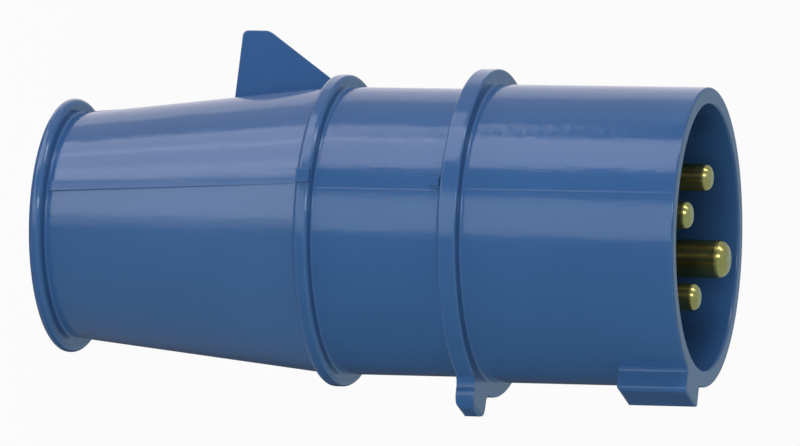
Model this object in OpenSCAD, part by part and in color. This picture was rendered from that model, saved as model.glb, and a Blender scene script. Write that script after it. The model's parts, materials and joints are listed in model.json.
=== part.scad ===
// Industrial pin and sleeve plug: three line pins and an earth pin in a round insulating sleeve.
// It stands on its cable end. +Z runs from the cable entry to the mouth, the key of the sleeve
// is on -Y, the fin of the housing on +Y and the earth pin on +X. Millimetres.

/* [Sleeve] */
// Length of the sleeve from the front face of its collar to its mouth
sleeve_l = 38.8; // [34:0.1:50]
// Inner radius of the sleeve
sleeve_bore_r = 23.85; // [22.5:0.05:26]
// Wall of the sleeve at the mouth
mouth_wall = 3; // [2:0.1:4]
// Wall of the sleeve at the collar
root_wall = 3; // [2.4:0.1:4]
// Width of the collar along the axis
collar_w = 3.4; // [2.5:0.1:6]
// Height of the collar above the sleeve
collar_h = 2.75; // [1.5:0.05:5]
// Width of the latch lug under the collar
lug_w = 8.4; // [6:0.2:12]
// Height of the latch lug above the collar
lug_h = 4.6; // [4:0.1:7]
// Length of the key from the mouth backwards
key_l = 12.7; // [8:0.1:24]
// Width of the key
key_w = 9; // [6:0.5:12]
// Height of the key above the mouth
key_h = 3.85; // [2:0.05:7]

/* [Housing] */
// Length of the straight barrel between ring and collar
barrel_l = 24.3; // [20:0.1:36]
// How far the barrel lies below the root of the sleeve
barrel_step = 0.85; // [0:0.05:1.5]
// Wall of the housing
wall = 2.6; // [2:0.1:3.2]
// Width of the ring between barrel and cone
ring_w = 2.8; // [2:0.1:5]
// Height of the ring above the barrel
ring_h = 2.25; // [1:0.05:4]
// Length of the cone between ring and tail flange
cone_l = 48.8; // [40:0.2:70]
// Outer radius of the cone at its small end
tail_r = 20.5; // [19.5:0.1:23]
// Width of the tail flange
flange_w = 2.4; // [2:0.1:4]
// Height of the tail flange above the cone
flange_h = 2.7; // [1.8:0.1:4]
// Radius of the cable opening in the tail
opening_r = 14.5; // [12:0.1:15.5]

/* [Fin and pad] */
// Length of the fin from the ring to its back edge
fin_l = 21.7; // [14:0.1:30]
// Length of the flat top of the fin
fin_top_l = 5; // [4:0.5:8]
// Height of the fin above the barrel
fin_h = 12; // [6:0.2:18]
// Thickness of the fin
fin_t = 3.6; // [2.5:0.1:6]
// Length of the pad in front of the tail flange
pad_l = 6.3; // [3:0.1:12]
// Width of the pad
pad_w = 8; // [4:0.5:12]
// Height of the pad above the cone
pad_h = 0.5; // [0.4:0.1:2]

/* [Contacts] */
// Radius of the circle on which the pins stand
pitch_r = 11.4; // [10.6:0.1:12.4]
// Radius of a line pin
line_pin_r = 2.5; // [2:0.1:3]
// Radius of the earth pin
earth_pin_r = 3.5; // [3:0.1:4]
// Depth of the line pin tips behind the mouth
tip_inset = 0.4; // [0:0.1:8]
// How far the earth pin reaches past the line pins
earth_lead = 1.8; // [0:0.1:4]
// Wall of the terminal barrel round a wire
terminal_wall = 2.2; // [2:0.1:2.6]
// Length of the terminal barrels behind the grip frame
terminal_l = 12; // [10:0.5:16]
// Radius of the wire holes of the line pins
line_wire_r = 1.8; // [1.4:0.1:2.1]
// Radius of the wire hole of the earth pin
earth_wire_r = 2.3; // [1.8:0.1:2.6]
// Radius of the threads of the terminal screws
terminal_screw_r = 1.7; // [1.4:0.1:2]

/* [Carrier] */
// Distance of the sleeve's floor in front of the collar
floor_rise = 1.5; // [0:0.1:5]
// Thickness of the sleeve's floor
floor_t = 2.4; // [2:0.1:4]
// Thickness of the contact carrier behind the floor
carrier_l = 10; // [8:0.5:14]
// Height of the carrier's face above the floor
nose_h = 0.7; // [0.4:0.1:3]
// Thickness of the plate of the grip frame
plate_t = 3; // [2:0.1:5]
// Radius of the carrier screws
carrier_screw_r = 1.6; // [1.3:0.1:1.8]
// Thickness of the gasket between collar and barrel
gasket_t = 0.6; // [0.4:0.1:1.2]

/* [Cord grip and cable entry] */
// Radius of the cable that the entry takes
cable_r = 6; // [4.5:0.1:7]
// Length of the legs of the grip frame
leg_l = 25; // [20:0.5:30]
// Width of the cord grip along the cable
grip_w = 8; // [6:0.5:12]
// Radius of the clamp screws
clamp_screw_r = 1.9; // [1.5:0.1:2.2]
// Thickness of the disc of the cable grommet
grommet_t = 4; // [3:0.1:6]
// Length of the grommet's neck
neck_l = 5.6; // [4:0.1:12]
// Thickness of the ring that holds the grommet
keeper_t = 3; // [2:0.1:5]

/* [Hidden] */
$fn = 96;
blue = "#2b62a8";
dark_blue = "#1d3557";
brass = "#c9b45a";
steel = "#b9bcc0";
rubber = "#26282b";
nylon = "#3a4048";

// Clearances: between moulded pieces, round pins and screws, and where a cut runs clear of a face
fit = 0.2;
close_fit = 0.05;
cut = 1;
// Radii of the moulded edges, the tail flange's bead, the root fillets and the mouth's rim
edge_r = 0.8;
bead_r = 1.1;
root_fillet = 0.35;
rim_r = 0.4;
// Chamfer at the ends of spigot, barrel and terminals, and points in each quarter of a round
chamfer = 0.4;
arc_n = 6;

// Radii of the shells
mouth_r = sleeve_bore_r + mouth_wall;
root_r = sleeve_bore_r + root_wall;
collar_r = root_r + collar_h;
body_r = root_r - barrel_step;
ring_r = body_r + ring_h;
flange_r = tail_r + flange_h;
barrel_bore_r = body_r - wall;
spigot_r = barrel_bore_r - fit;
spigot_wall = 2;
spigot_bore_r = spigot_r - spigot_wall;
floor_lip = 1.6;
floor_bore_r = spigot_bore_r - floor_lip;
spigot_overlap = 1.5;

// Stations along the axis, from the tail to the mouth
z_cone = flange_w;
z_ring = z_cone + cone_l;
z_barrel = z_ring + ring_w;
z_collar = z_barrel + barrel_l;
z_sleeve = z_collar + collar_w;
z_mouth = z_sleeve + sleeve_l;
z_floor = z_sleeve + floor_rise;
z_seat = z_floor - floor_t;
z_carrier = z_seat - carrier_l;
z_plate = z_carrier - plate_t;
z_spigot = z_plate - spigot_overlap;
z_terminal = z_plate - terminal_l;
z_grip = z_plate - leg_l;

// Outer and inner radius of the cone at height z
function cone_r(z) = tail_r + (body_r - tail_r) * (z - z_cone) / cone_l;
function cone_bore_r(z) = cone_r(z) - wall;

// Points of a round of radius r about (x, y), from angle a to angle b
function arc(x, y, r, a, b) =
    [for (i = [0:arc_n]) [x + r * cos(a + (b - a) * i / arc_n), y + r * sin(a + (b - a) * i / arc_n)]];

// Bayonet between sleeve and housing
bayonet_h = 1;
bayonet_w = 2.2;
bayonet_angle = 14;
bayonet_turn = 35;
bayonet_sides = [90, 270];
bayonet_rise = 1.2;
z_bayonet = z_spigot + bayonet_rise;

// Pin roots inside the carrier, pin flanges behind it, and rounding of the tips by the radius
pin_root_h = 0.5;
pin_flange_t = 1.6;
pin_flange_h = 0.8;
tip_round = 0.6;

// Screws: flat seats and places on the terminals, heads, slots and the cover over the tips
screw_flat = 0.3;
terminal_screw_rise = 4.5;
z_terminal_screw = z_terminal + terminal_screw_rise;
screw_head_t = 2.2;
screw_head_h = 1.2;
slot_w = 0.8;
slot_depth = 0.9;
screw_cover = 1;

// Carrier screws stand between the pins
carrier_screw_pitch = 15.3;
carrier_screw_angles = [45, 225];
ear_wall = 2;

// The cord grip lies across the axis at this angle
grip_angle = 135;
leg_inner = 15;
leg_t = 3.2;
grip_bite = 0.5;
jaw_gap_y = -3;
jaw_t = 6;
saddle_top_y = 8;
saddle_seat_y = 4;
clamp_screw_gap = 2.6;
clamp_screw_x = cable_r + clamp_screw_r + clamp_screw_gap;
clamp_head_t = 2.4;
clamp_head_h = 1.6;

// Wall of the grommet's neck
neck_wall = 2.2;

// A shape seen in the plane of radius and height, turned to a side of the plug and made t thick
module rib(angle, t)
{
    rotate([0, 0, angle])
        rotate([90, 0, 0])
            translate([0, 0, -t / 2])
                linear_extrude(height = t)
                    children();
}

// A pan head screw along -Z with its head on z = 0
module screw(r, length, head_r, head_t)
{
    difference()
    {
        union()
        {
            translate([0, 0, -length])
                cylinder(r = r, h = length + head_t / 2);
            rotate_extrude()
                polygon(concat([[0, 0], [head_r, 0]],
                    arc(head_r - head_t / 2, head_t / 2, head_t / 2, 0, 90), [[0, head_t]]));
        }
        translate([-head_r - cut, -slot_w / 2, head_t - slot_depth])
            cube([2 * (head_r + cut), slot_w, slot_depth + cut]);
    }
}

// ---- Front sleeve -------------------------------------------------------------------------

// Half section of the collar, the sleeve, its floor and the spigot behind the collar
module sleeve_section()
{
    polygon(concat(
        [[spigot_bore_r, z_spigot], [spigot_r - chamfer, z_spigot], [spigot_r, z_spigot + chamfer],
            [spigot_r, z_collar]],
        arc(collar_r - edge_r / 2, z_collar + edge_r / 2, edge_r / 2, -90, 0),
        arc(collar_r - edge_r / 2, z_sleeve - edge_r / 2, edge_r / 2, 0, 90),
        arc(root_r + root_fillet, z_sleeve + root_fillet, root_fillet, 270, 180),
        arc(mouth_r - rim_r, z_mouth - rim_r, rim_r, 0, 90),
        arc(sleeve_bore_r + rim_r, z_mouth - rim_r, rim_r, 90, 180),
        [[sleeve_bore_r, z_floor], [floor_bore_r, z_floor], [floor_bore_r, z_seat],
            [spigot_bore_r, z_seat]]));
}

// Side view of the latch lug, as thick as the collar
module lug_section()
{
    top = collar_r + lug_h;
    square_root = collar_r - collar_h;
    polygon(concat(
        [[square_root, z_collar], [top - edge_r, z_collar]],
        arc(top - edge_r, z_collar + edge_r, edge_r, -90, 0),
        arc(top - edge_r, z_sleeve - edge_r, edge_r, 0, 90),
        [[square_root, z_sleeve]]));
}

// Outline, seen along the axis, of a block w wide on a round wall, up to the radius top.
// Its outer corners are rounded, and its fillets run into the wall a little below the surface.
module block_plan(wall_r, top, w, corner, fillet)
{
    wall_depth = 0.15;
    y = w / 2 + fillet;
    r = wall_r - wall_depth;
    x = sqrt((r + fillet) * (r + fillet) - y * y);
    end = atan2(y, x);
    foot = [(r - 1) * cos(end), (r - 1) * sin(end)];
    polygon(concat(
        [[foot[0], -foot[1]]],
        arc(x, -y, fillet, 180 - end, 90),
        arc(top - corner, corner - w / 2, corner, -90, 0),
        arc(top - corner, w / 2 - corner, corner, 0, 90),
        arc(x, y, fillet, 270, 180 + end),
        [foot]));
}

module latch_lug()
{
    corner_share = 0.31;
    flank_h = 1.4;
    corner = min(corner_share * lug_w, lug_h - flank_h);
    fillet = 2;
    intersection()
    {
        rib(-90, lug_w + 2 * fillet + 2 * cut)
            lug_section();
        rotate([0, 0, -90])
            translate([0, 0, z_collar - cut])
                linear_extrude(height = collar_w + 2 * cut)
                    block_plan(collar_r, collar_r + lug_h, lug_w, corner, fillet);
    }
}

// The key is a block with a rounded back, flush with the mouth
module key()
{
    top = mouth_r + key_h;
    foot = sleeve_bore_r + mouth_wall / 2;
    fillet = 1;
    intersection()
    {
        rib(-90, key_w + 2 * fillet + 2 * cut)
            polygon(concat(
                [[foot, z_mouth - key_l], [top - edge_r, z_mouth - key_l]],
                arc(top - edge_r, z_mouth - key_l + edge_r, edge_r, -90, 0),
                arc(top - rim_r, z_mouth - rim_r, rim_r, 0, 90),
                [[foot, z_mouth]]));
        rotate([0, 0, -90])
            translate([0, 0, z_mouth - key_l - cut])
                linear_extrude(height = key_l + 2 * cut)
                    block_plan(mouth_r, top, key_w, edge_r, fillet);
    }
}

// Ears of the floor that take the carrier screws
module floor_ears(gap)
{
    for (a = carrier_screw_angles)
        rotate([0, 0, a])
            translate([carrier_screw_pitch, 0, z_seat - gap])
                cylinder(r = carrier_screw_r + ear_wall + gap, h = floor_t + 2 * gap);
}

module floor_ear_webs(gap)
{
    half_w = carrier_screw_r + ear_wall + gap;
    for (a = carrier_screw_angles)
        rotate([0, 0, a])
            translate([carrier_screw_pitch, -half_w, z_seat - gap])
                cube([floor_bore_r - carrier_screw_pitch + cut, 2 * half_w, floor_t + 2 * gap]);
}

module carrier_screw_holes(r, z_low, z_high)
{
    for (a = carrier_screw_angles)
        rotate([0, 0, a])
            translate([carrier_screw_pitch, 0, z_low])
                cylinder(r = r, h = z_high - z_low);
}

module bayonet_lugs()
{
    for (a = bayonet_sides)
        rotate([0, 0, a - bayonet_angle / 2])
            rotate_extrude(angle = bayonet_angle)
                translate([spigot_r - spigot_wall / 2, z_bayonet])
                    square([spigot_wall / 2 + bayonet_h, bayonet_w]);
}

module front_sleeve()
{
    color(blue)
        difference()
        {
            union()
            {
                rotate_extrude()
                    sleeve_section();
                latch_lug();
                key();
                floor_ears(0);
                floor_ear_webs(0);
                bayonet_lugs();
            }
            carrier_screw_holes(carrier_screw_r + close_fit, z_seat - cut, z_floor - screw_cover + 2 * fit);
        }
}

// ---- Rear housing -------------------------------------------------------------------------

// Half section of the tail flange, cone, ring and barrel
module housing_section()
{
    flange_round = min(bead_r, 0.46 * flange_w);
    ring_round = min(edge_r, ring_h / 2);
    z_end = z_collar - gasket_t;
    polygon(concat(
        [[opening_r, chamfer], [opening_r + chamfer, 0]],
        arc(flange_r - flange_round, flange_round, flange_round, -90, 0),
        arc(flange_r - flange_round, z_cone - flange_round, flange_round, 0, 90),
        arc(cone_r(z_cone + root_fillet) + root_fillet, z_cone + root_fillet, root_fillet, 270, 180),
        arc(cone_r(z_ring - root_fillet) + root_fillet, z_ring - root_fillet, root_fillet, 180, 90),
        arc(ring_r - ring_round, z_ring + ring_round, ring_round, -90, 0),
        arc(ring_r - ring_round, z_barrel - ring_round, ring_round, 0, 90),
        arc(body_r + root_fillet, z_barrel + root_fillet, root_fillet, 270, 180),
        [[body_r, z_end - chamfer], [body_r - chamfer, z_end], [barrel_bore_r + chamfer, z_end],
            [barrel_bore_r, z_end - chamfer], [barrel_bore_r, z_ring],
            [cone_bore_r(z_cone), z_cone], [opening_r, z_cone]]));
}

module fin()
{
    top = body_r + fin_h;
    z_back = z_ring - fin_l;
    slope = atan2(fin_h, fin_l - fin_top_l);
    back_r = 1;
    front_r = 3;
    front_z = z_back + fin_top_l - front_r * tan(slope / 2);
    rib(90, fin_t)
        polygon(concat(
            [[cone_r(z_back) - wall / 2, z_back]],
            arc(top - back_r, z_back + back_r, back_r, -90, 0),
            [for (i = [0:arc_n]) [top - front_r + front_r * cos(slope * i / arc_n),
                front_z + front_r * sin(slope * i / arc_n)]],
            [[body_r, z_ring], [body_r - wall / 2, z_ring + ring_w / 2]]));
}

module pad()
{
    intersection()
    {
        rotate_extrude()
            polygon([[tail_r - wall / 2, 0.5 * z_cone], [tail_r + pad_h, 0.5 * z_cone],
                [cone_r(z_cone + pad_l) + pad_h, z_cone + pad_l],
                [cone_r(z_cone + pad_l) - wall / 2, z_cone + pad_l]]);
        translate([-pad_w / 2, 0, 0])
            cube([pad_w, flange_r, z_cone + pad_l + cut]);
    }
}

// Raised bands along the cone on both sides, wider towards the tail
module parting_bands()
{
    band_h = 0.2;
    tail_w = 2;
    ring_end_w = 1.3;
    intersection()
    {
        rotate_extrude()
            polygon([[tail_r - wall / 2, 0.5 * z_cone], [tail_r + band_h, 0.5 * z_cone],
                [body_r + band_h, z_ring + ring_w / 2], [body_r - wall / 2, z_ring + ring_w / 2]]);
        translate([-ring_r, 0, 0])
            rotate([90, 0, 90])
                linear_extrude(height = 2 * ring_r)
                    polygon([[-tail_w / 2, 0], [tail_w / 2, 0], [ring_end_w / 2, z_barrel],
                        [-ring_end_w / 2, z_barrel]]);
    }
}

// Small stops on the ring and at the front of the barrel, on both sides
module side_nubs()
{
    nub_w = 2.6;
    nub_h = 0.5;
    nub_inset = 0.2;
    stop_w = 1.6;
    stop_l = 1.5;
    stop_h = 0.6;
    for (side = [0, 180])
        rotate([0, 0, side])
        {
            translate([body_r - wall / 2, -nub_w / 2, z_ring + nub_inset])
                cube([wall / 2 + ring_h + nub_h, nub_w, ring_w - 2 * nub_inset]);
            translate([body_r - wall / 2, -stop_w / 2, z_collar - gasket_t - chamfer - stop_l])
                cube([wall / 2 + stop_h, stop_w, stop_l]);
        }
}

// Slots in the barrel: each lug enters along the wide one and turns into the low one
module bayonet_slots()
{
    slot_r = spigot_r + bayonet_h + fit;
    side_angle = 2;
    setback_angle = 1;
    entry_angle = bayonet_angle + 2 * side_angle;
    for (a = bayonet_sides)
        rotate([0, 0, a - bayonet_angle / 2 - side_angle])
        {
            rotate_extrude(angle = bayonet_turn)
                translate([barrel_bore_r - cut, z_bayonet - fit])
                    square([slot_r - barrel_bore_r + cut, bayonet_w + 2 * fit]);
            rotate([0, 0, bayonet_turn - entry_angle - setback_angle])
                rotate_extrude(angle = entry_angle)
                    translate([barrel_bore_r - cut, z_bayonet + bayonet_w / 2])
                        square([slot_r - barrel_bore_r + cut + fit, z_collar - z_bayonet]);
        }
}

module rear_housing()
{
    color(blue)
        difference()
        {
            union()
            {
                rotate_extrude()
                    housing_section();
                fin();
                pad();
                parting_bands();
                side_nubs();
            }
            bayonet_slots();
        }
}

module body_gasket()
{
    inset = 0.5;
    color(rubber)
        translate([0, 0, z_collar - gasket_t])
            difference()
            {
                cylinder(r = body_r - inset, h = gasket_t);
                translate([0, 0, -cut])
                    cylinder(r = spigot_r + fit, h = gasket_t + 2 * cut);
            }
}

// ---- Contacts -----------------------------------------------------------------------------

function terminal_r(wire_r) = wire_r + terminal_wall;

// A turned contact: rounded tip, shank, thicker root, flange and a drilled terminal barrel
module contact(pin_r, wire_r, z_tip, angle)
{
    barrel_r = terminal_r(wire_r);
    tip_r = tip_round * pin_r;
    flange = barrel_r + pin_flange_h;
    z_flange = z_carrier + pin_flange_t;
    wire_depth = terminal_l - 2;
    flat_l = terminal_l - 1;
    rotate([0, 0, angle])
        translate([pitch_r, 0, 0])
            difference()
            {
                rotate_extrude()
                    polygon(concat(
                        [[0, z_terminal], [barrel_r - chamfer, z_terminal], [barrel_r, z_terminal + chamfer],
                            [barrel_r, z_carrier], [flange, z_carrier], [flange, z_flange],
                            [pin_r + pin_root_h, z_flange], [pin_r + pin_root_h, z_floor],
                            [pin_r, z_floor]],
                        arc(pin_r - tip_r, z_tip - tip_r, tip_r, 0, 90),
                        [[0, z_tip]]));
                translate([0, 0, z_terminal - cut])
                    cylinder(r = wire_r, h = wire_depth + cut);
                translate([barrel_r - screw_flat, -barrel_r, z_terminal - cut])
                    cube([barrel_r, 2 * barrel_r, flat_l + cut]);
                translate([0, 0, z_terminal_screw])
                    rotate([0, 90, 0])
                        cylinder(r = terminal_screw_r + close_fit, h = barrel_r + cut);
            }
}

module terminal_screw(wire_r, angle)
{
    seat = terminal_r(wire_r) - screw_flat;
    color(steel)
        rotate([0, 0, angle])
            translate([pitch_r + seat, 0, z_terminal_screw])
                rotate([0, 90, 0])
                    screw(terminal_screw_r, seat, terminal_screw_r + screw_head_h, screw_head_t);
}

module earth_pin()
{
    color(brass)
        contact(earth_pin_r, earth_wire_r, z_mouth - tip_inset + earth_lead, 0);
}

module line_pin(i)
{
    color(brass)
        contact(line_pin_r, line_wire_r, z_mouth - tip_inset, 90 * i);
}

// ---- Carrier and grip frame ---------------------------------------------------------------

// Holes for the four contacts, each grown by gap, from z_low to z_high
module contact_holes(line_r, earth_r, z_low, z_high)
{
    for (i = [0:3])
        rotate([0, 0, 90 * i])
            translate([pitch_r, 0, z_low])
                cylinder(r = i == 0 ? earth_r : line_r, h = z_high - z_low);
}

module contact_carrier()
{
    z_face = z_floor + nose_h;
    color(dark_blue)
        difference()
        {
            union()
            {
                translate([0, 0, z_carrier])
                    cylinder(r = spigot_bore_r - fit, h = carrier_l);
                difference()
                {
                    translate([0, 0, z_seat])
                        cylinder(r = floor_bore_r - fit, h = z_face - z_seat);
                    floor_ear_cut();
                }
            }
            contact_holes(line_pin_r + pin_root_h + close_fit, earth_pin_r + pin_root_h + close_fit,
                z_carrier - cut, z_face + cut);
            contact_holes(terminal_r(line_wire_r) + pin_flange_h + fit,
                terminal_r(earth_wire_r) + pin_flange_h + fit, z_carrier - cut, z_carrier + pin_flange_t);
            carrier_screw_holes(carrier_screw_r + fit, z_carrier - cut, z_face + cut);
        }
}

// Room in the carrier's nose for the ears of the floor
module floor_ear_cut()
{
    half_w = carrier_screw_r + ear_wall + fit;
    for (a = carrier_screw_angles)
        rotate([0, 0, a])
            translate([carrier_screw_pitch, 0, z_seat])
            {
                cylinder(r = half_w, h = floor_t + nose_h + cut);
                translate([0, -half_w, 0])
                    cube([floor_bore_r, 2 * half_w, floor_t + nose_h + cut]);
            }
}

// Plate that traps the contacts, with two legs and the lower jaw of the cord grip
module grip_frame()
{
    leg_low = jaw_gap_y - jaw_t;
    leg_w = 10;
    jaw_l = 2 * (leg_inner + leg_t);
    color(nylon)
        difference()
        {
            union()
            {
                translate([0, 0, z_plate])
                    cylinder(r = spigot_bore_r - fit, h = plate_t);
                rotate([0, 0, grip_angle])
                {
                    for (side = [0, 180])
                        rotate([0, 0, side])
                            translate([leg_inner, side == 0 ? leg_low : -leg_low - leg_w, z_grip])
                                cube([leg_t, leg_w, leg_l + plate_t / 2]);
                    translate([-jaw_l / 2, leg_low, z_grip])
                        cube([jaw_l, jaw_t, grip_w]);
                }
            }
            contact_holes(terminal_r(line_wire_r) + fit, terminal_r(earth_wire_r) + fit,
                z_plate - cut, z_carrier + cut);
            carrier_screw_holes(carrier_screw_r + fit, z_plate - cut, z_carrier + cut);
            translate([0, 0, z_grip - cut])
                cylinder(r = cable_r - grip_bite, h = grip_w + 2 * cut);
            clamp_screw_holes(clamp_screw_r + close_fit, leg_low - cut, jaw_gap_y + cut);
        }
}

module clamp_screw_holes(r, y_low, y_high)
{
    rotate([0, 0, grip_angle])
        for (x = [-clamp_screw_x, clamp_screw_x])
            translate([x, y_high, z_grip + grip_w / 2])
                rotate([90, 0, 0])
                    cylinder(r = r, h = y_high - y_low);
}

// Upper jaw of the cord grip
module clamp_saddle()
{
    saddle_l = 2 * (leg_inner - fit);
    color(nylon)
        difference()
        {
            rotate([0, 0, grip_angle])
                translate([0, 0, z_grip])
                    linear_extrude(height = grip_w)
                        polygon([[-saddle_l / 2, jaw_gap_y], [saddle_l / 2, jaw_gap_y],
                            [saddle_l / 2, saddle_seat_y], [cable_r, saddle_top_y],
                            [-cable_r, saddle_top_y], [-saddle_l / 2, saddle_seat_y]]);
            translate([0, 0, z_grip - cut])
                cylinder(r = cable_r - grip_bite, h = grip_w + 2 * cut);
            clamp_screw_holes(clamp_screw_r + fit, jaw_gap_y - cut, saddle_top_y + cut);
            clamp_head_seats();
        }
}

// Flat seats for the heads of the clamp screws
module clamp_head_seats()
{
    depth = saddle_top_y + cut - saddle_seat_y;
    rotate([0, 0, grip_angle])
        for (x = [-clamp_screw_x, clamp_screw_x])
            translate([x, saddle_top_y + cut, z_grip + grip_w / 2])
                rotate([90, 0, 0])
                    cylinder(r = clamp_screw_r + clamp_head_h + fit, h = depth);
}

module clamp_screw(side)
{
    length = saddle_seat_y - jaw_gap_y + jaw_t - screw_cover;
    color(steel)
        rotate([0, 0, grip_angle])
            translate([side * clamp_screw_x, saddle_seat_y, z_grip + grip_w / 2])
                rotate([-90, 0, 0])
                    screw(clamp_screw_r, length, clamp_screw_r + clamp_head_h, clamp_head_t);
}

module carrier_screw(angle)
{
    length = z_floor - z_plate - screw_cover;
    color(steel)
        rotate([0, 0, angle])
            translate([carrier_screw_pitch, 0, z_plate])
                rotate([180, 0, 0])
                    screw(carrier_screw_r, length, carrier_screw_r + screw_head_h, screw_head_t);
}

// ---- Cable entry --------------------------------------------------------------------------

// Rubber grommet: a disc behind the opening, steps for cutting and a neck round the cable
module cable_grommet()
{
    z_top = z_cone + grommet_t;
    disc_r = cone_bore_r(z_cone) - fit;
    neck_r = cable_r + neck_wall;
    plug_r = opening_r - fit;
    step = (plug_r - neck_r) / 3;
    z_step = z_cone / 3;
    root = 1;
    taper = 0.8;
    color(rubber)
        rotate_extrude()
            polygon([[cable_r, 0], [neck_r, 0], [neck_r, z_step], [neck_r + step, z_step],
                [neck_r + step, 2 * z_step], [plug_r, 2 * z_step], [plug_r, z_cone],
                [disc_r, z_cone], [disc_r, z_top], [neck_r + root, z_top], [neck_r, z_top + root],
                [neck_r - taper, z_top + neck_l], [cable_r, z_top + neck_l]]);
}

// Ring pressed into the cone over the grommet
module grommet_keeper()
{
    z_low = z_cone + grommet_t;
    z_high = z_low + keeper_t;
    neck_gap = 2;
    inner_r = cable_r + neck_wall + neck_gap;
    bevel = 1;
    color(nylon)
        rotate_extrude()
            polygon([[inner_r, z_low], [cone_bore_r(z_low) - close_fit, z_low],
                [cone_bore_r(z_high) - close_fit, z_high], [inner_r + bevel, z_high],
                [inner_r, z_high - bevel]]);
}

front_sleeve();
rear_housing();
contact_carrier();
grip_frame();
earth_pin();
line_pin(1);  // line_pin_1
line_pin(2);  // line_pin_2
line_pin(3);  // line_pin_3
terminal_screw(earth_wire_r, 0);  // terminal_screw_earth
terminal_screw(line_wire_r, 90);  // terminal_screw_1
terminal_screw(line_wire_r, 180);  // terminal_screw_2
terminal_screw(line_wire_r, 270);  // terminal_screw_3
carrier_screw(carrier_screw_angles[0]);  // carrier_screw_1
carrier_screw(carrier_screw_angles[1]);  // carrier_screw_2
body_gasket();
clamp_saddle();
clamp_screw(-1);  // clamp_screw_1
clamp_screw(1);  // clamp_screw_2
cable_grommet();
grommet_keeper();
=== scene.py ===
import json
import math

import bmesh
import bpy
from mathutils import Matrix, Vector
from mathutils.bvhtree import BVHTree


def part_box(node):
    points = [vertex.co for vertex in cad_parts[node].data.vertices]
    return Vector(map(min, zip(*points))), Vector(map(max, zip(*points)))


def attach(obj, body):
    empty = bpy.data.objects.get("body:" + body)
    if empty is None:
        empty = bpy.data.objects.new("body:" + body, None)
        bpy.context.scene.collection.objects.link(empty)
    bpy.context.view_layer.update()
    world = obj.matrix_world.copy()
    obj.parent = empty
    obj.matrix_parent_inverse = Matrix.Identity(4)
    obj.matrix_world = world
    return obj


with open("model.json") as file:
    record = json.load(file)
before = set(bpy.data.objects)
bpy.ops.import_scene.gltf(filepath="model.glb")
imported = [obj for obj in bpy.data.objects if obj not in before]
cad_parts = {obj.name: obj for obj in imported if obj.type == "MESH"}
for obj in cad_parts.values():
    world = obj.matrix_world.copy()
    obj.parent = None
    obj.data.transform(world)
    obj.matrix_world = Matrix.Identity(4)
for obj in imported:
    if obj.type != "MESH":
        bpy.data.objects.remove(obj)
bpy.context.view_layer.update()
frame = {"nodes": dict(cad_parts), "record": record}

MM = 0.001
SCENE = bpy.context.scene
SCENE.view_settings.view_transform = "Standard"
UP = Vector((0, 0, 1))
WHITE = (1, 1, 1, 1)

# ---- Camera -------------------------------------------------------------------------------
# It is turned a quarter: the plug's axis, which stands upright, lies across the frame.
VIEW_AZIMUTH = math.radians(200)    # horizontal direction from the plug to the camera
VIEW_ELEVATION = math.radians(15.8)
VIEW_DISTANCE = 1.4
VIEW_ROLL = math.radians(1.08)
AIM_HEIGHT = 63.2 * MM
AIM_SIDE = 1.54 * MM
FOCAL_LENGTH = 348.6                # in millimetres, like the sensor's width
SENSOR_WIDTH = 36.0
CLIP_START = 0.05

TO_CAMERA = Vector((math.cos(VIEW_AZIMUTH), math.sin(VIEW_AZIMUTH), 0))
ACROSS = Vector((TO_CAMERA.y, -TO_CAMERA.x, 0))    # upwards in the frame, towards the fin's side

# ---- Light --------------------------------------------------------------------------------
WORLD_LIGHT = 0.17
# What glossy surfaces see around the plug: the height of a direction, from -1 straight down to 1
# straight up, and its colour. It is dim beside the panels, and lighter below and above them.
DIM = (0.06, 0.06, 0.06)
SHEEN = ((-0.42, (0.3, 0.3, 0.3)), (-0.33, DIM), (-0.06, DIM), (0.14, (0.38, 0.52, 0.66)))
COOL = (1.0, 0.97, 1.04)
WARM = (1.0, 1.03, 0.94)
# Panels: name, turn and rise in degrees, distance, width, height, radiance, other settings
PANELS = (
    ("key", 74, -1, 1.5, 1.4, 1.4, 3.3, {"colour": COOL, "glossy": False}),
    ("front", 5, -1, 1.6, 1.2, 1.2, 4.0, {"glossy": False}),
    ("fill", -48, -1, 1.6, 1.2, 1.2, 3.2, {"colour": WARM, "glossy": False}),
    ("band_high", 64.9, -18, 1.2, 0.57, 1.1, 2.5, {"colour": COOL}),
    ("band_wedge", 86, -23.5, 1.2, 0.34, 0.42, 2.3, {"colour": COOL, "tilt": -9}),
    ("band_low", 15.5, -18, 1.2, 0.50, 1.1, 1.5, {"tilt": -33}),
    ("band_foot", 31, -34, 1.2, 1.17, 0.3, 0.9, {}),
    ("wing_near", 112, -14, 1.5, 0.9, 1.4, 0.5, {"colour": COOL}),
    ("wing_far", 155, -20, 1.5, 1.4, 1.0, 0.95, {"colour": COOL}),
    ("glint_high", 80, 34, 1.2, 0.22, 0.4, 9.0, {"diffuse": False}),
    ("glint_low", 22, 34, 1.2, 0.22, 0.4, 9.0, {"diffuse": False}),
)

# ---- Floor --------------------------------------------------------------------------------
FLOOR_REACH = 6
FLOOR_DROP = 0.05 * MM    # it lies this far under the plug
FLOOR_GLOW = 0.95         # share of plain white in what the camera sees of it

# ---- Finish -------------------------------------------------------------------------------
BEVEL_SAMPLES = 6
EDGE_GAIN = 5.0           # how soon a bent normal counts as an edge, painted paler as wear and as a painted highlight
PLASTIC_EDGE = 0.3 * MM   # radii of the edges
BRASS_EDGE = 0.2 * MM
STEEL_EDGE = 0.15 * MM
RUBBER_EDGE = 0.25 * MM
FLOW_DEPTH = 0.032 * MM   # depths of the relief
PEEL_DEPTH = 0.003 * MM
RING_DEPTH = 0.002 * MM
BRUSH_DEPTH = 0.003 * MM
RUBBER_DEPTH = 0.01 * MM
SPECK_LEVEL = 0.62        # above it a speck of the plastic is pale
STREAK_SHARE = 0.35
EDGE_DULLING = 0.08

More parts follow.
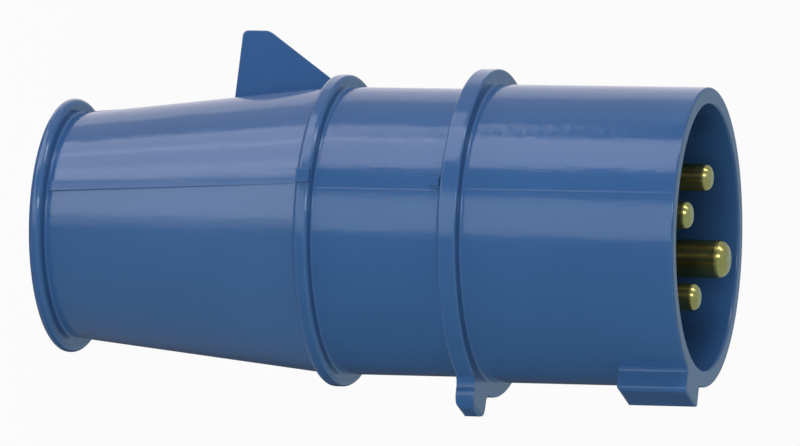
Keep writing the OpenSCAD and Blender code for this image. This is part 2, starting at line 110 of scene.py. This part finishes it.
# ---- Parting beads ------------------------------------------------------------------------
BEAD_WIDTH = 0.38 * MM
BEAD_HEIGHT = 0.07 * MM
BEAD_EDGE = 0.02 * MM
BEAD_TURN = math.radians(3.3)    # the seam lies a little off the plane of the small stops
BEAD_ROOT = 0.01 * MM            # depth of the bead's edges in the wall
BEAD_SUNK = 0.12 * MM            # depth of its underside
BEAD_INSET = 0.45 * MM           # from its end to the end of its node
BEAD_SECTIONS = 60
BEAD_FACETS = 8
BEAD_TIP = 0.35                  # share of the height that it has at its ends
BEAD_GROWTH = 12                 # how fast it reaches its full height
PROBE_GAP = 0.3 * MM             # how far off the wall the line runs that finds the step
# The part's name, its node and how far from the node's end the wall is probed
BEAD_PLACES = (("sleeve", "front_sleeve", 20 * MM), ("barrel", "rear_housing", 12 * MM))
BEAD_SIDES = (("near", math.pi + BEAD_TURN), ("far", BEAD_TURN))


class Nodes:
    """A short way to write a shader's nodes and links."""

    def __init__(self, tree):
        self.tree = tree
        tree.nodes.clear()

    def add(self, kind, links=None, **values):
        """A node, with its attributes and inputs set, and other inputs linked."""
        node = self.tree.nodes.new(kind)
        for name, value in values.items():
            if hasattr(node, name):
                setattr(node, name, value)
            else:
                node.inputs[name.replace("_", " ")].default_value = value
        for name, source in (links or {}).items():
            self.tree.links.new(source, node.inputs[name])
        return node

    def math(self, operation, a, b, clamp=False):
        node = self.tree.nodes.new("ShaderNodeMath")
        node.operation = operation
        node.use_clamp = clamp
        for slot, value in zip(node.inputs, (a, b)):
            if isinstance(value, (int, float)):
                slot.default_value = value
            else:
                self.tree.links.new(value, slot)
        return node.outputs[0]

    def spread(self, source, amount, base):
        """The base plus the source times the amount."""
        return self.math("ADD", self.math("MULTIPLY", source, amount), base)

    def ramp(self, source, *stops):
        node = self.tree.nodes.new("ShaderNodeValToRGB")
        self.tree.links.new(source, node.inputs["Fac"])
        elements = node.color_ramp.elements
        while len(elements) < len(stops):
            elements.new(0.5)
        for element, (place, value) in zip(elements, stops):
            element.position = place
            element.color = value if len(value) == 4 else (*value, 1)
        return node.outputs["Color"]

    def mix(self, factor, a, b):
        node = self.tree.nodes.new("ShaderNodeMix")
        node.data_type = "RGBA"
        slots = {s.identifier: s for s in node.inputs}
        for slot, value in zip(("Factor_Float", "A_Color", "B_Color"), (factor, a, b)):
            if isinstance(value, bpy.types.NodeSocket):
                self.tree.links.new(value, slots[slot])
            else:
                slots[slot].default_value = value
        return [s for s in node.outputs if s.identifier == "Result_Color"][0]

    def wear_and_highlight(self, edge, share, tone, worn_and_highlight):
        """The tone, with a share of a paler colour on the edges: partly wear, partly a painted
        highlight.
        """
        return self.mix(self.math("MULTIPLY", edge, share), tone, worn_and_highlight)

    def noise(self, where, scale, detail, roughness=0.5):
        node = self.add("ShaderNodeTexNoise", {"Vector": where}, Scale=scale, Detail=detail,
                        Roughness=roughness)
        return node.outputs["Fac"]

    def stretched(self, where, x, y, z):
        return self.add("ShaderNodeMapping", {"Vector": where}, Scale=(x, y, z)).outputs["Vector"]

    def object_place(self):
        return self.add("ShaderNodeTexCoord").outputs["Object"]

    def bump(self, height, normal, depth):
        node = self.add("ShaderNodeBump", {"Height": height, "Normal": normal}, Strength=1.0,
                        Distance=depth)
        return node.outputs["Normal"]

    def principled(self, tone, gloss, normal, links=None, **values):
        """The whole end of a material."""
        shader = self.add("ShaderNodeBsdfPrincipled",
                          {"Base Color": tone, "Roughness": gloss, "Normal": normal,
                           **(links or {})}, **values)
        self.add("ShaderNodeOutputMaterial", {"Surface": shader.outputs["BSDF"]})

    def mix_shaders(self, factor, first, second):
        node = self.add("ShaderNodeMixShader", {"Fac": factor})
        self.tree.links.new(first.outputs[0], node.inputs[1])
        self.tree.links.new(second.outputs[0], node.inputs[2])
        return node.outputs[0]


def rgb(r, g, b):
    """A linear colour from 8 bit sRGB numbers."""
    def linear(v):
        v /= 255
        return v / 12.92 if v <= 0.04045 else ((v + 0.055) / 1.055) ** 2.4
    return (linear(r), linear(g), linear(b), 1.0)


def new_material(name):
    material = bpy.data.materials.new(name)
    material.use_nodes = True
    return material, Nodes(material.node_tree)


def rounded_normal(n, radius):
    """Normals as if each edge were rounded, and a mask that is 1 on those edges."""
    bevel = n.add("ShaderNodeBevel", Radius=radius, samples=BEVEL_SAMPLES)
    plain = n.add("ShaderNodeNewGeometry")
    dot = n.add("ShaderNodeVectorMath", operation="DOT_PRODUCT")
    n.tree.links.new(bevel.outputs["Normal"], dot.inputs[0])
    n.tree.links.new(plain.outputs["Normal"], dot.inputs[1])
    bent = n.math("SUBTRACT", 1.0, dot.outputs["Value"])
    return bevel.outputs["Normal"], n.math("MULTIPLY", bent, EDGE_GAIN, clamp=True)


# ---- Materials ----------------------------------------------------------------------------
def moulded_plastic(name, colour, deep, worn_and_highlight, roughness, edge_radius=PLASTIC_EDGE):
    """Injection moulded plastic: mottled colour, long flow ripples, orange peel, and paler edges
    that are partly rubbing and partly a painted highlight.
    """
    material, n = new_material(name)
    where = n.object_place()
    normal, edge = rounded_normal(n, edge_radius)
    cloud = n.noise(where, scale=45, detail=4, roughness=0.6)
    speck = n.noise(where, scale=2600, detail=2, roughness=0.6)
    flow = n.noise(n.stretched(where, 1, 1, 0.22), scale=330, detail=3, roughness=0.55)
    jag = n.noise(where, scale=520, detail=2, roughness=0.6)
    streak = n.noise(n.stretched(where, 1, 1, 0.05), scale=1500, detail=2, roughness=0.6)
    peel = n.noise(where, scale=1500, detail=2)
    rub = n.noise(n.stretched(where, 1, 1, 0.3), scale=700, detail=3, roughness=0.7)
    tone = n.ramp(cloud, (0.32, deep), (0.68, colour))
    pale = n.math("SUBTRACT", speck, SPECK_LEVEL, clamp=True)
    tone = n.mix(n.math("MULTIPLY", pale, 1.2, clamp=True), tone, worn_and_highlight)
    # Paler edges: partly rubbed plastic, partly a painted highlight on the rims and edges.
    tone = n.wear_and_highlight(edge, 0.35, tone, worn_and_highlight)
    gloss = n.spread(rub, 0.10, roughness - 0.05)
    gloss = n.math("ADD", gloss, n.math("MULTIPLY", edge, EDGE_DULLING))
    ragged = n.math("ADD", jag, n.math("MULTIPLY", streak, STREAK_SHARE))
    rippled = n.bump(n.math("ADD", flow, ragged), normal, FLOW_DEPTH)
    n.principled(tone, gloss, n.bump(peel, rippled, PEEL_DEPTH), IOR=1.5)
    return material


def turned_brass(name):
    """Brass turned on a lathe: fine rings along the pin, tarnish in patches, and paler edges that
    are partly rubbed metal and partly a painted highlight.
    """
    material, n = new_material(name)
    where = n.object_place()
    normal, edge = rounded_normal(n, BRASS_EDGE)
    rings = n.noise(n.stretched(where, 0.02, 0.02, 1), scale=9000, detail=3, roughness=0.6)
    patch = n.noise(where, scale=260, detail=4, roughness=0.6)
    tone = n.ramp(patch, (0.3, rgb(186, 166, 90)), (0.7, rgb(208, 188, 112)))
    # Paler edges: partly rubbed brass, partly a painted highlight.
    tone = n.wear_and_highlight(edge, 0.5, tone, rgb(224, 222, 168))
    along = n.add("ShaderNodeCombineXYZ", X=0.02, Y=0.01, Z=1.0)
    n.principled(tone, n.spread(patch, 0.14, 0.17), n.bump(rings, normal, RING_DEPTH),
                 {"Tangent": along.outputs["Vector"]}, Metallic=1.0, Anisotropic=0.75)
    return material


def brushed_steel(name):
    """Zinc plated screws: soft grain with dull patches."""
    material, n = new_material(name)
    where = n.object_place()
    normal, edge = rounded_normal(n, STEEL_EDGE)
    grain = n.noise(n.stretched(where, 1, 0.15, 1), scale=3000, detail=3, roughness=0.6)
    patch = n.noise(where, scale=400, detail=4, roughness=0.6)
    tone = n.ramp(patch, (0.3, rgb(150, 152, 154)), (0.7, rgb(182, 184, 186)))
    # Paler edges: partly rubbed plating, partly a painted highlight.
    tone = n.wear_and_highlight(edge, 0.5, tone, rgb(208, 210, 212))
    n.principled(tone, n.spread(grain, 0.2, 0.22), n.bump(grain, normal, BRUSH_DEPTH),
                 Metallic=1.0)
    return material


def seal_rubber(name):
    """Black rubber with a dusty bloom and a fine grain."""
    material, n = new_material(name)
    where = n.object_place()
    normal, edge = rounded_normal(n, RUBBER_EDGE)
    bloom = n.noise(where, scale=180, detail=4, roughness=0.65)
    grain = n.noise(where, scale=4200, detail=2, roughness=0.6)
    tone = n.ramp(bloom, (0.35, rgb(30, 31, 33)), (0.75, rgb(52, 53, 55)))
    # Paler edges: partly rubbed rubber, partly a painted highlight.
    tone = n.wear_and_highlight(edge, 0.4, tone, rgb(74, 75, 77))
    n.principled(tone, n.spread(bloom, 0.2, 0.5), n.bump(grain, normal, RUBBER_DEPTH), IOR=1.45)
    return material


# The third colour of each plastic is its paler tone: on the specks it is the plastic's own, on the
# edges partly wear and partly a painted highlight.
BLUES = (rgb(57, 98, 150), rgb(54, 94, 145), rgb(88, 124, 170))
SHELL = moulded_plastic("shell_blue", *BLUES, roughness=0.14)
BEAD = moulded_plastic("bead_blue", *BLUES, roughness=0.14, edge_radius=BEAD_EDGE)
CARRIER = moulded_plastic("carrier_blue", rgb(28, 48, 76), rgb(25, 44, 70), rgb(52, 72, 100),
                          roughness=0.34)
INNER = moulded_plastic("inner_nylon", rgb(58, 62, 68), rgb(52, 56, 62), rgb(84, 88, 94),
                        roughness=0.42)
BRASS = turned_brass("contact_brass")
STEEL = brushed_steel("screw_steel")
RUBBER = seal_rubber("seal_rubber")

FINISH = {"shell": SHELL, "carrier": CARRIER, "inner_plastic": INNER, "contact": BRASS,
          "screw": STEEL, "seal": RUBBER}

for entry in frame["record"]["subparts"]:
    mesh = frame["nodes"][entry["node"]].data
    mesh.materials.clear()
    mesh.materials.append(FINISH[entry["material_slot"]])


# ---- Pieces added to the solids -----------------------------------------------------------
def surface(node, start, direction):
    """Where a line meets a CAD node."""
    mesh = frame["nodes"][node].data
    tree = BVHTree.FromPolygons([v.co for v in mesh.vertices], [p.vertices for p in mesh.polygons])
    return tree.ray_cast(start, direction)[0]


def bead_section(share, radius):
    """Sideways place and radius of each point of a bead's section, at a share of its length."""
    height = BEAD_HEIGHT * min(1.0, BEAD_GROWTH * min(share, 1 - share) + BEAD_TIP)
    half, sunk = BEAD_WIDTH / 2, radius - BEAD_SUNK
    turns = [math.pi * j / BEAD_FACETS for j in range(BEAD_FACETS + 1)]
    arch = [(half * math.cos(t), radius - BEAD_ROOT + height * math.sin(t)) for t in turns]
    return arch + [(-half, sunk), (half, sunk)]


def parting_bead(name, node, angle, z_probe):
    """A fine raised bead along a round wall, from the step below z_probe to the node's end."""
    out = Vector((math.cos(angle), math.sin(angle), 0))
    aside = UP.cross(out)
    hit = surface(node, out + UP * z_probe, -out)
    radius = (hit - UP * hit.z).length
    low = surface(node, out * (radius + PROBE_GAP) + UP * z_probe, -UP).z
    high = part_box(node)[1][2] - BEAD_INSET
    bm = bmesh.new()
    rings = []
    for i in range(BEAD_SECTIONS + 1):
        share = i / BEAD_SECTIONS
        level = UP * (low + (high - low) * share)
        rings.append([bm.verts.new(out * r + aside * y + level)
                      for y, r in bead_section(share, radius)])
    for first, second in zip(rings, rings[1:]):
        for j in range(len(first)):
            k = (j + 1) % len(first)
            bm.faces.new((first[j], first[k], second[k], second[j]))
    bm.faces.new(rings[0])
    bm.faces.new(rings[-1])
    bmesh.ops.recalc_face_normals(bm, faces=bm.faces)
    mesh = bpy.data.meshes.new(name)
    bm.to_mesh(mesh)
    bm.free()
    for polygon in mesh.polygons:
        polygon.use_smooth = len(polygon.vertices) == 4
    mesh.materials.append(BEAD)
    bead = bpy.data.objects.new(name, mesh)
    SCENE.collection.objects.link(bead)
    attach(bead, "root")


for side, angle in BEAD_SIDES:
    for part, node, back in BEAD_PLACES:
        parting_bead(part + "_bead_" + side, node, angle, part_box(node)[1][2] - back)


# ---- Floor, world, lamps and camera -------------------------------------------------------
def ray_kinds(n):
    """Masks of the rays that the camera sees directly and of those seen in a reflection."""
    path = n.add("ShaderNodeLightPath")
    seen = n.math("MAXIMUM", path.outputs["Is Camera Ray"], path.outputs["Is Transmission Ray"])
    return seen, path.outputs["Is Glossy Ray"]


def build_floor():
    """White paper that no gloss mirrors."""
    bm = bmesh.new()
    bmesh.ops.create_grid(bm, x_segments=1, y_segments=1, size=FLOOR_REACH)
    mesh = bpy.data.meshes.new("floor")
    bm.to_mesh(mesh)
    bm.free()
    floor = bpy.data.objects.new("floor", mesh)
    floor.location.z = -FLOOR_DROP
    SCENE.collection.objects.link(floor)
    material, n = new_material("floor_paper")
    seen = ray_kinds(n)[0]
    patch = n.noise(n.object_place(), scale=6, detail=3)
    tone = n.ramp(patch, (0.3, rgb(242, 242, 242)), (0.7, rgb(248, 248, 248)))
    paper = n.add("ShaderNodeBsdfDiffuse", {"Color": tone})
    glow = n.add("ShaderNodeEmission", Color=WHITE, Strength=1.0)
    mixed = n.mix_shaders(n.math("MULTIPLY", seen, FLOOR_GLOW), paper, glow)
    n.add("ShaderNodeOutputMaterial", {"Surface": mixed})
    mesh.materials.append(material)
    floor.visible_glossy = False


def build_world():
    """White to the camera, an even dim light to matt surfaces, SHEEN to glossy ones."""
    world = bpy.data.worlds.new("studio")
    world.use_nodes = True
    n = Nodes(world.node_tree)
    seen, glossy = ray_kinds(n)
    direction = n.add("ShaderNodeTexCoord").outputs["Generated"]
    height = n.add("ShaderNodeSeparateXYZ", {"Vector": direction}).outputs["Z"]
    share = n.math("MULTIPLY", n.math("ADD", height, 1.0), 0.5)
    sheen = n.ramp(share, *(((z + 1) / 2, colour) for z, colour in SHEEN))
    level = n.mix(glossy, (WORLD_LIGHT,) * 3 + (1,), sheen)
    dim = n.add("ShaderNodeBackground", {"Color": level}, Strength=1.0)
    white = n.add("ShaderNodeBackground", Color=WHITE, Strength=1.0)
    n.add("ShaderNodeOutputWorld", {"Surface": n.mix_shaders(seen, dim, white)})
    SCENE.world = world


def softbox(name, turn, rise, distance, width, height, radiance, colour=(1, 1, 1), glossy=True,
            diffuse=True, tilt=0.0):
    """A panel facing the plug. turn is measured from the camera's side towards the fin's side,
    and tilt turns the panel in its own plane."""
    lamp = bpy.data.lights.new(name, "AREA")
    lamp.shape = "RECTANGLE"
    lamp.size = width
    lamp.size_y = height
    lamp.energy = radiance * math.pi * width * height
    lamp.color = colour
    panel = bpy.data.objects.new(name, lamp)
    turn, rise, tilt = math.radians(turn), math.radians(rise), math.radians(tilt)
    level = TO_CAMERA * math.cos(turn) + ACROSS * math.sin(turn)
    away = level * math.cos(rise) + UP * math.sin(rise)
    side = UP.cross(away).normalized()
    top = away.cross(side)
    turned = Matrix((side, top, away)).transposed() @ Matrix.Rotation(tilt, 3, "Z")
    place = away * distance + UP * AIM_HEIGHT
    panel.matrix_world = Matrix.Translation(place) @ turned.to_4x4()
    panel.visible_camera = False
    panel.visible_glossy = glossy
    panel.visible_diffuse = diffuse
    SCENE.collection.objects.link(panel)


def build_camera():
    data = bpy.data.cameras.new("camera")
    data.lens = FOCAL_LENGTH
    data.sensor_width = SENSOR_WIDTH
    data.clip_start = CLIP_START
    camera = bpy.data.objects.new("camera", data)
    back = TO_CAMERA * math.cos(VIEW_ELEVATION) + UP * math.sin(VIEW_ELEVATION)
    right = ACROSS.cross(back)
    aim = UP * AIM_HEIGHT + ACROSS * AIM_SIDE
    turned = Matrix((right, ACROSS, back)).transposed() @ Matrix.Rotation(VIEW_ROLL, 3, "Z")
    camera.matrix_world = Matrix.Translation(aim + back * VIEW_DISTANCE) @ turned.to_4x4()
    SCENE.collection.objects.link(camera)
    SCENE.camera = camera


build_floor()
build_world()
for *places, settings in PANELS:
    softbox(*places, **settings)
build_camera()
